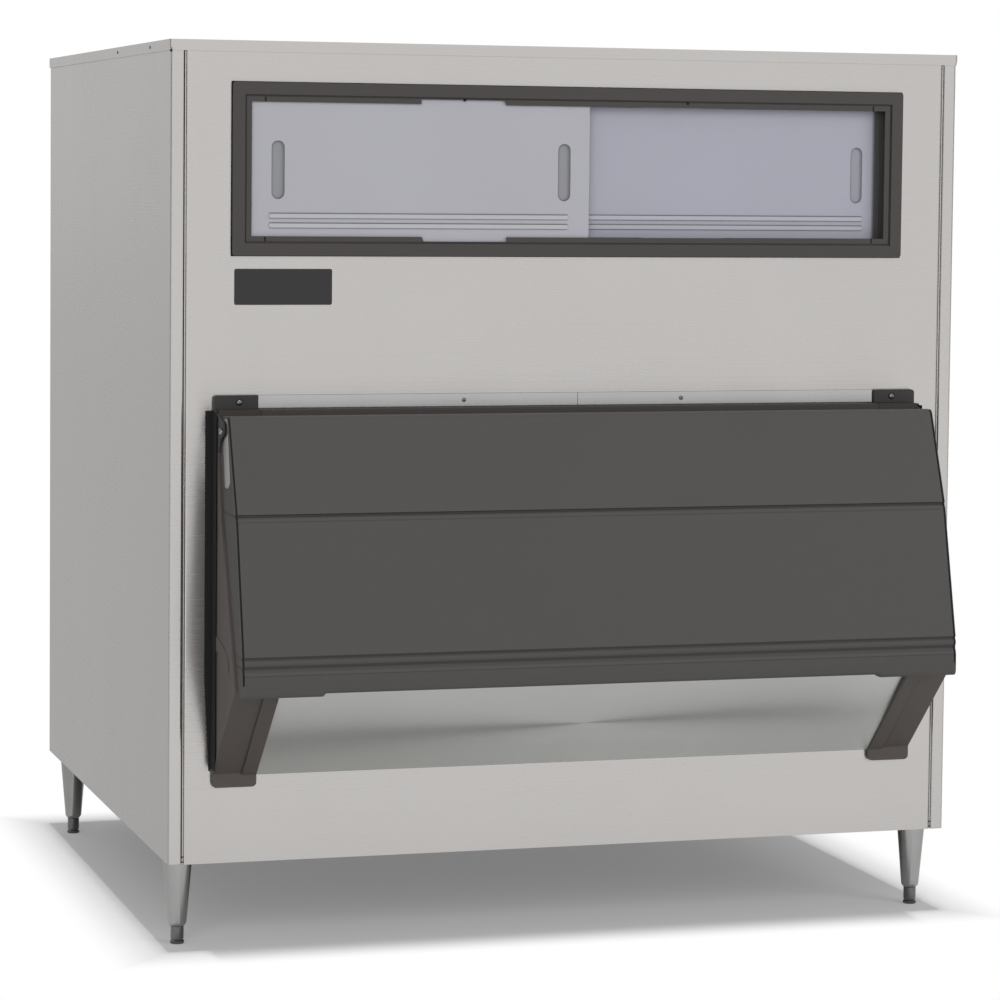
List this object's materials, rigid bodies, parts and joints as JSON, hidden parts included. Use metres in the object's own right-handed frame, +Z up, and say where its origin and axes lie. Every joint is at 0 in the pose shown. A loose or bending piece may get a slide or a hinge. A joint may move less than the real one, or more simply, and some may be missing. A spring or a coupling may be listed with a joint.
{
  "type": "ice storage bin",
  "caption": "Upright insulated bin on four legs, open on top, with a sliding-panel window high in front and a lift-up scoop door on a sloping snout below it.",
  "frame": {"origin": "on the floor, in the middle of the bounding box's width and depth", "axes": "+X right along the front, -Y out of the front, +Z up"},
  "size_m": [1.5316, 1.557, 1.652],
  "materials": {
    "side_skin": "brushed",
    "front_skin": "brushed",
    "liner": "smooth moulded",
    "frame_plastic": "satin moulded",
    "snout_plastic": "fine grain moulded",
    "door_plastic": "fine grain moulded",
    "window_panel": "frosted",
    "black_plastic": "satin",
    "gasket": "matte",
    "polished": "polished"
  },
  "bodies": {
    "bin": {"side_panel_left": "side_skin", "side_panel_right": "side_skin", "back_panel": "side_skin", "base_panel": "side_skin", "front_panel": "front_skin", "top_cap": "front_skin", "trim_strip_left": "front_skin", "trim_strip_right": "front_skin", "apron_panel": "front_skin", "cap_rivet_left_1": "front_skin", "cap_rivet_left_2": "front_skin", "cap_rivet_right_1": "front_skin", "cap_rivet_right_2": "front_skin", "leg_plate_front_left": "front_skin", "leg_plate_front_right": "front_skin", "leg_plate_back_left": "front_skin", "leg_plate_back_right": "front_skin", "bin_liner": "liner", "ice_chute": "liner", "drain_fitting": "liner", "window_frame": "frame_plastic", "hinge_bracket_left": "frame_plastic", "hinge_bracket_right": "frame_plastic", "snout_header": "snout_plastic", "side_cheek_left": "snout_plastic", "side_cheek_right": "snout_plastic", "badge_plate": "black_plastic", "drain_nut": "black_plastic", "drain_strainer": "polished", "hinge_pin_left": "polished", "hinge_pin_right": "polished", "strip_screw_left": "polished", "strip_screw_right": "polished", "bracket_screw_left": "polished", "bracket_screw_right": "polished", "leg_front_left": "polished", "leg_front_right": "polished", "leg_back_left": "polished", "leg_back_right": "polished"},
    "door": {"door_shell": "door_plastic", "door_liner": "liner", "door_gasket": "gasket", "door_hinge_plate_left": "front_skin", "door_hinge_plate_right": "front_skin"},
    "left_panel": {"sliding_panel_left": "window_panel"},
    "right_panel": {"sliding_panel_right": "window_panel"},
    "foot_front_left": {"foot_front_left": "polished"},
    "foot_front_right": {"foot_front_right": "polished"},
    "foot_back_left": {"foot_back_left": "polished"},
    "foot_back_right": {"foot_back_right": "polished"}
  },
  "joints": [
    {"name": "door_hinge", "type": "hinge", "parent": "bin", "child": "door", "pos_m": [0, -0.6215, 0.954], "axis": [-1, 0, 0], "range_deg": [0, 167.5]},
    {"name": "left_panel_slide", "type": "slide", "parent": "bin", "child": "left_panel", "axis": [1, 0, 0], "range_m": [0, 0.6065]},
    {"name": "right_panel_slide", "type": "slide", "parent": "bin", "child": "right_panel", "axis": [-1, 0, 0], "range_m": [0, 0.6065]},
    {"name": "foot_front_left_screw", "type": "slide", "parent": "bin", "child": "foot_front_left", "axis": [0, 0, -1], "range_m": [0, 0.025]},
    {"name": "foot_front_right_screw", "type": "slide", "parent": "bin", "child": "foot_front_right", "axis": [0, 0, -1], "range_m": [0, 0.025]},
    {"name": "foot_back_left_screw", "type": "slide", "parent": "bin", "child": "foot_back_left", "axis": [0, 0, -1], "range_m": [0, 0.025]},
    {"name": "foot_back_right_screw", "type": "slide", "parent": "bin", "child": "foot_back_right", "axis": [0, 0, -1], "range_m": [0, 0.025]}
  ]
}
